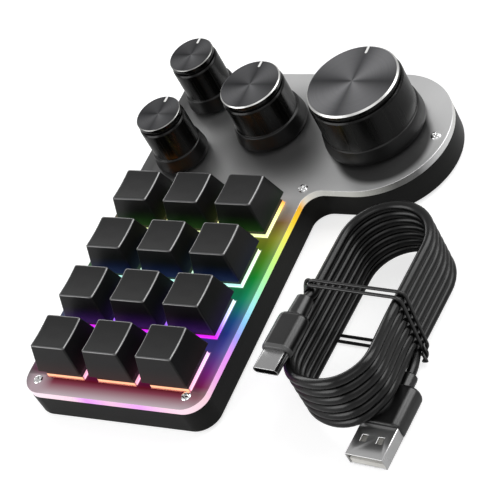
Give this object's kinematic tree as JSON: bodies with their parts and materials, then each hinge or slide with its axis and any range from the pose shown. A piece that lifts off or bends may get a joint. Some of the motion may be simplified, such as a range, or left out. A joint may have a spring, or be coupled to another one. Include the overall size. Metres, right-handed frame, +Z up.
{
  "type": "macro keypad",
  "caption": "Small L-shaped desktop keypad with lit mechanical keys and push-turn knobs on a rounded lobe, beside its detached wound USB cable.",
  "frame": {"origin": "under the middle of the case, on the desk", "axes": "+Z up, +Y towards the knob panel at the back, +X towards the rounded lobe"},
  "size_m": [0.1256, 0.1349, 0.0328],
  "materials": {
    "case": "satin",
    "feet": "matte",
    "plate": "frosted",
    "screws": "polished",
    "board": "satin",
    "switch_base": "satin",
    "switch_top": "frosted",
    "spring": "satin",
    "light": "satin",
    "socket": "satin",
    "encoder": "satin",
    "keycap": "satin",
    "stem": "satin",
    "rotor": "satin",
    "shaft": "satin",
    "knob": "gloss",
    "knob_cap": "spun",
    "cable": "satin",
    "tie": "satin",
    "plug": "satin",
    "plug_shell": "polished",
    "tongue": "satin"
  },
  "bodies": {
    "keypad": {"case_tray": "case", "rubber_feet": "feet", "top_plate": "plate", "plate_screws": "screws", "circuit_board": "board", "switch_bases": "switch_base", "switch_tops": "switch_top", "switch_springs": "spring", "key_lights": "light", "usb_socket": "socket", "encoder_housings": "encoder", "cable_hank": "cable", "cable_end_c": "cable", "cable_end_a": "cable", "cable_tie": "tie", "usb_c_plug_body": "plug", "usb_c_plug_shell": "plug_shell", "usb_a_plug_body": "plug", "usb_a_plug_shell": "plug_shell", "usb_a_plug_tongue": "tongue"},
    "key_r1c1": {"keycap_r1c1": "keycap", "stem_r1c1": "stem"},
    "key_r1c2": {"keycap_r1c2": "keycap", "stem_r1c2": "stem"},
    "key_r1c3": {"keycap_r1c3": "keycap", "stem_r1c3": "stem"},
    "key_r2c1": {"keycap_r2c1": "keycap", "stem_r2c1": "stem"},
    "key_r2c2": {"keycap_r2c2": "keycap", "stem_r2c2": "stem"},
    "key_r2c3": {"keycap_r2c3": "keycap", "stem_r2c3": "stem"},
    "key_r3c1": {"keycap_r3c1": "keycap", "stem_r3c1": "stem"},
    "key_r3c2": {"keycap_r3c2": "keycap", "stem_r3c2": "stem"},
    "key_r3c3": {"keycap_r3c3": "keycap", "stem_r3c3": "stem"},
    "key_r4c1": {"keycap_r4c1": "keycap", "stem_r4c1": "stem"},
    "key_r4c2": {"keycap_r4c2": "keycap", "stem_r4c2": "stem"},
    "key_r4c3": {"keycap_r4c3": "keycap", "stem_r4c3": "stem"},
    "turn_large": {"rotor_large": "rotor"},
    "push_large": {"shaft_large": "shaft", "knob_large": "knob", "knob_large_cap": "knob_cap"},
    "turn_medium": {"rotor_medium": "rotor"},
    "push_medium": {"shaft_medium": "shaft", "knob_medium": "knob", "knob_medium_cap": "knob_cap"},
    "turn_back": {"rotor_back": "rotor"},
    "push_back": {"shaft_back": "shaft", "knob_back": "knob", "knob_back_cap": "knob_cap"},
    "turn_front": {"rotor_front": "rotor"},
    "push_front": {"shaft_front": "shaft", "knob_front": "knob", "knob_front_cap": "knob_cap"}
  },
  "joints": [
    {"name": "key_r1c1_press", "type": "slide", "parent": "keypad", "child": "key_r1c1", "axis": [0, 0, -1], "range_m": [0, 0.0028], "stiffness_N_per_m": 85, "springref_m": -0.003, "deforming": ["switch_springs"]},
    {"name": "key_r1c2_press", "type": "slide", "parent": "keypad", "child": "key_r1c2", "axis": [0, 0, -1], "range_m": [0, 0.0028], "stiffness_N_per_m": 85, "springref_m": -0.003, "deforming": ["switch_springs"]},
    {"name": "key_r1c3_press", "type": "slide", "parent": "keypad", "child": "key_r1c3", "axis": [0, 0, -1], "range_m": [0, 0.0028], "stiffness_N_per_m": 85, "springref_m": -0.003, "deforming": ["switch_springs"]},
    {"name": "key_r2c1_press", "type": "slide", "parent": "keypad", "child": "key_r2c1", "axis": [0, 0, -1], "range_m": [0, 0.0028], "stiffness_N_per_m": 85, "springref_m": -0.003, "deforming": ["switch_springs"]},
    {"name": "key_r2c2_press", "type": "slide", "parent": "keypad", "child": "key_r2c2", "axis": [0, 0, -1], "range_m": [0, 0.0028], "stiffness_N_per_m": 85, "springref_m": -0.003, "deforming": ["switch_springs"]},
    {"name": "key_r2c3_press", "type": "slide", "parent": "keypad", "child": "key_r2c3", "axis": [0, 0, -1], "range_m": [0, 0.0028], "stiffness_N_per_m": 85, "springref_m": -0.003, "deforming": ["switch_springs"]},
    {"name": "key_r3c1_press", "type": "slide", "parent": "keypad", "child": "key_r3c1", "axis": [0, 0, -1], "range_m": [0, 0.0028], "stiffness_N_per_m": 85, "springref_m": -0.003, "deforming": ["switch_springs"]},
    {"name": "key_r3c2_press", "type": "slide", "parent": "keypad", "child": "key_r3c2", "axis": [0, 0, -1], "range_m": [0, 0.0028], "stiffness_N_per_m": 85, "springref_m": -0.003, "deforming": ["switch_springs"]},
    {"name": "key_r3c3_press", "type": "slide", "parent": "keypad", "child": "key_r3c3", "axis": [0, 0, -1], "range_m": [0, 0.0028], "stiffness_N_per_m": 85, "springref_m": -0.003, "deforming": ["switch_springs"]},
    {"name": "key_r4c1_press", "type": "slide", "parent": "keypad", "child": "key_r4c1", "axis": [0, 0, -1], "range_m": [0, 0.0028], "stiffness_N_per_m": 85, "springref_m": -0.003, "deforming": ["switch_springs"]},
    {"name": "key_r4c2_press", "type": "slide", "parent": "keypad", "child": "key_r4c2", "axis": [0, 0, -1], "range_m": [0, 0.0028], "stiffness_N_per_m": 85, "springref_m": -0.003, "deforming": ["switch_springs"]},
    {"name": "key_r4c3_press", "type": "slide", "parent": "keypad", "child": "key_r4c3", "axis": [0, 0, -1], "range_m": [0, 0.0028], "stiffness_N_per_m": 85, "springref_m": -0.003, "deforming": ["switch_springs"]},
    {"name": "knob_large_turn", "type": "hinge", "parent": "keypad", "child": "turn_large", "pos_m": [0.0269, 0.04275, 0.0156], "axis": [0, 0, 1], "continuous": true},
    {"name": "knob_large_push", "type": "slide", "parent": "turn_large", "child": "push_large", "axis": [0, 0, -1], "range_m": [0, 0.0005], "stiffness_N_per_m": 4000, "springref_m": -0.0005},
    {"name": "knob_medium_turn", "type": "hinge", "parent": "keypad", "child": "turn_medium", "pos_m": [-0.01035, 0.04275, 0.0156], "axis": [0, 0, 1], "continuous": true},
    {"name": "knob_medium_push", "type": "slide", "parent": "turn_medium", "child": "push_medium", "axis": [0, 0, -1], "range_m": [0, 0.0005], "stiffness_N_per_m": 4000, "springref_m": -0.0005},
    {"name": "knob_back_turn", "type": "hinge", "parent": "keypad", "child": "turn_back", "pos_m": [-0.03815, 0.05485, 0.0156], "axis": [0, 0, 1], "continuous": true},
    {"name": "knob_back_push", "type": "slide", "parent": "turn_back", "child": "push_back", "axis": [0, 0, -1], "range_m": [0, 0.0005], "stiffness_N_per_m": 4000, "springref_m": -0.0005},
    {"name": "knob_front_turn", "type": "hinge", "parent": "keypad", "child": "turn_front", "pos_m": [-0.03815, 0.02925, 0.0156], "axis": [0, 0, 1], "continuous": true},
    {"name": "knob_front_push", "type": "slide", "parent": "turn_front", "child": "push_front", "axis": [0, 0, -1], "range_m": [0, 0.0005], "stiffness_N_per_m": 4000, "springref_m": -0.0005}
  ]
}
